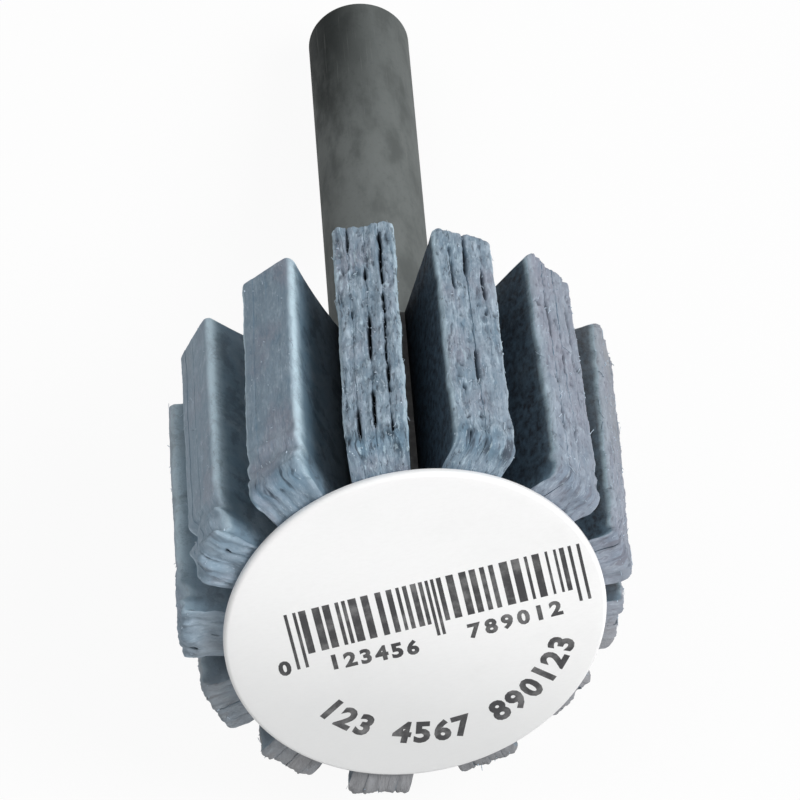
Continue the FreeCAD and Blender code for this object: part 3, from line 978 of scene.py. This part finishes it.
class PrintLabel(bpy.types.Operator):
    """Print the bars and plain digits on the label."""

    bl_idname = "flap_wheel.print_label"
    bl_label = "Print the label"

    def execute(self, context):
        """Lays the bars and digits on the disc as thin ink."""
        label = context.scene.flap_wheel.label
        ink = ink_material(label)
        plane = label_frame()[2] @ Matrix.Rotation(label.print_turn, 4, "Z")
        guide = bpy.data.meshes.new("bars_guide")
        bars = grow("label_bars", guide, bars_tree(), {
            **named_values(label), "Seed": 3, "Ink thickness": INK_THICKNESS, "Ink": ink
        })
        start = Matrix.Translation((-6.8 * MM, 1.48 * MM, 0))
        bars.data.transform(plane @ start @ WHEEL.inverted())
        small = label.digit_size
        row = row_of_digits("0", (-7.45 * MM, -0.65 * MM), (0, 0), small)
        row += row_of_digits("123456", (-4.75 * MM, -1.03 * MM), (-0.45 * MM, -1.33 * MM), small)
        row += row_of_digits("789012", (3.05 * MM, -1.2 * MM), (7.6 * MM, -1.03 * MM), small)
        middle = (0.75 * MM, 0)
        ring = ring_of_digits("123 4567 890123", 214, 332, middle, 7.6 * MM, label.ring_size)
        digits = add_object("label_digits", lay_digits("label_digits", row + ring, plane))
        digits.data.materials.append(ink)
        keep(bars, "label_paper")
        keep(digits, "label_paper")
        return {"FINISHED"}


# Shank and hub

class DressShank(bpy.types.Operator):
    """Turn the shank again with finer rows and give it its steel."""

    bl_idname = "flap_wheel.dress_shank"
    bl_label = "Dress the shank"

    def execute(self, context):
        """Makes the shank in place of its CAD solid."""
        mesh = turn_profile("shank_steel", outline_of(points_of("shank")), 128, WHEEL)
        keep_turned_place(mesh)
        mesh.materials.append(steel_material(context.scene.flap_wheel.metal))
        mesh.shade_smooth()
        mesh.set_sharp_from_angle(angle=math.radians(40))
        keep(add_object("shank_steel", mesh), "shank_steel", "shank")
        return {"FINISHED"}


def outline_of(points):
    """The profile of a turned solid, as radius and station from end to end, read from its corners."""
    stations = sorted({round(float(z), 7) for z in points[:, 2]})
    radii = np.hypot(points[:, 0], points[:, 1])
    profile = [(0, stations[0])]
    for station in stations:
        at = radii[np.abs(points[:, 2] - station) < 1e-7]
        levels = sorted({round(float(r), 7) for r in at if r > 1e-6})
        profile += [(r, station) for r in levels]
    profile.append((0, stations[-1]))
    return profile


def keep_turned_place(mesh):
    """Keeps each point's place in the wheel's own frame, in millimetres, for the material."""
    to_wheel = WHEEL.inverted()
    places = [x / MM for v in mesh.vertices for x in to_wheel @ v.co]
    mesh.attributes.new("turned", "FLOAT_VECTOR", "POINT").data.foreach_set("vector", places)


class DressHub(bpy.types.Operator):
    """Give the hub its cast resin."""

    bl_idname = "flap_wheel.dress_hub"
    bl_label = "Dress the hub"

    def execute(self, context):
        """Puts the resin on the hub's CAD solid."""
        hub = frame["nodes"]["hub"]
        hub.data.materials.clear()
        hub.data.materials.append(resin_material(context.scene.flap_wheel.metal))
        return {"FINISHED"}


# Stage

def add_lamp(name, aim, direction, distance, power, width):
    """A soft square lamp that looks at the wheel."""
    lamp = bpy.data.lights.new(name, "AREA")
    lamp.energy = power
    lamp.size = width
    holder = add_object(name, lamp)
    toward = Vector(direction).normalized()
    holder.location = aim + toward * distance
    holder.rotation_euler = toward.to_track_quat("Z", "Y").to_euler()


def seen_directly(bench):
    """One for camera, glossy and transmission rays, and nought for the others."""
    path = bench.node("ShaderNodeLightPath", output="Is Camera Ray")
    return path.most(path.output("Is Glossy Ray")).most(path.output("Is Transmission Ray"))


def floor_material(stage):
    """A pale floor that looks white and keeps a soft shadow."""
    material, bench = new_material("pale_floor")
    cloud = bench.noise(object_place(bench), 3, scale=6)
    base = bench.tint(bench.fade(cloud, 0.3, 0.7) * 0.04, stage.floor, (0.8, 0.8, 0.8))
    lit = bench.node("ShaderNodeBsdfPrincipled", {"Base Color": base, "Roughness": 0.8})
    white = bench.node("ShaderNodeEmission", {"Color": (1, 1, 1, 1), "Strength": 1})
    mixed = bench.node("ShaderNodeMixShader", {0: seen_directly(bench) * 0.93, 1: lit, 2: white})
    bench.node("ShaderNodeOutputMaterial", {0: mixed})
    return material


def light_world(stage):
    """A soft white sky, which the camera sees as plain white."""
    world = bpy.data.worlds.new("studio")
    world.use_nodes = True
    world.node_tree.nodes.clear()
    bench = Bench(world.node_tree)
    strength = seen_directly(bench) * (1 - stage.sky) + stage.sky
    sky = bench.node("ShaderNodeBackground", {"Color": (1, 1, 1, 1), "Strength": strength})
    bench.node("ShaderNodeOutputWorld", {0: sky})
    bpy.context.scene.world = world


def set_camera(stage):
    """Puts the camera at the photograph's angle."""
    level = math.cos(stage.elevation)
    ahead = Vector((
        math.sin(stage.azimuth) * level, math.cos(stage.azimuth) * level, -math.sin(stage.elevation)
    ))
    lens = bpy.data.cameras.new("camera")
    lens.lens = stage.lens
    lens.sensor_width = 36
    lens.clip_start = 0.01
    lens.clip_end = 20
    camera = add_object("camera", lens)
    turned = ahead.to_track_quat("-Z", "Y").to_matrix() @ Matrix.Rotation(stage.roll, 3, "Z")
    camera.matrix_world = Matrix.Translation(Vector(stage.aim) - ahead * stage.distance) @ turned.to_4x4()
    bpy.context.scene.camera = camera


class SetStage(bpy.types.Operator):
    """Lay the floor and set the lamps and the camera."""

    bl_idname = "flap_wheel.set_stage"
    bl_label = "Set the stage"

    def execute(self, context):
        """Makes the floor, the sky, the lamps and the camera."""
        stage = context.scene.flap_wheel.stage
        mesh = bpy.data.meshes.new("floor")
        reach = 3
        corners = [(-reach, -reach, 0), (reach, -reach, 0), (reach, reach, 0), (-reach, reach, 0)]
        mesh.from_pydata(corners, [], [(0, 1, 2, 3)])
        mesh.materials.append(floor_material(stage))
        add_object("floor", mesh)
        aim = Vector(stage.aim)
        add_lamp("key_lamp", aim, (0.62, -0.4, 0.64), distance=0.7, power=stage.key, width=0.35)
        add_lamp("fill_lamp", aim, (-0.4, -0.1, 0.9), distance=0.8, power=stage.fill, width=0.6)
        light_world(stage)
        set_camera(stage)
        context.scene.view_settings.view_transform = "Standard"
        return {"FINISHED"}


class WheelPanel(bpy.types.Panel):
    """The flap wheel's steps and sizes in the sidebar."""

    bl_idname = "VIEW3D_PT_flap_wheel"
    bl_label = "Flap wheel"
    bl_space_type = "VIEW_3D"
    bl_region_type = "UI"
    bl_category = "Flap wheel"

    def draw(self, context):
        """Lists the operators and the settings."""
        for step in STEPS:
            self.layout.operator(step.bl_idname)
        wheel = context.scene.flap_wheel
        for group in (wheel.flaps, wheel.label, wheel.metal, wheel.stage):
            box = self.layout.box()
            for name in group.bl_rna.properties.keys():
                if name not in ("rna_type", "name"):
                    box.prop(group, name)


STEPS = (BuildFlaps, BuildLabel, PrintLabel, DressShank, DressHub, SetStage)
GROUPS = (FlapSettings, LabelSettings, MetalSettings, StageSettings, WheelSettings)


def register():
    """Makes the settings, the operators and the panel known."""
    for kind in (*GROUPS, *STEPS, WheelPanel):
        bpy.utils.register_class(kind)
    bpy.types.Scene.flap_wheel = bpy.props.PointerProperty(type=WheelSettings)


def unregister():
    """Takes them away again."""
    del bpy.types.Scene.flap_wheel
    for kind in reversed((*GROUPS, *STEPS, WheelPanel)):
        bpy.utils.unregister_class(kind)


def main():
    """Builds every piece."""
    register()
    for step in STEPS:
        group, name = step.bl_idname.split(".")
        getattr(getattr(bpy.ops, group), name)()


if __name__ == "__main__":
    main()
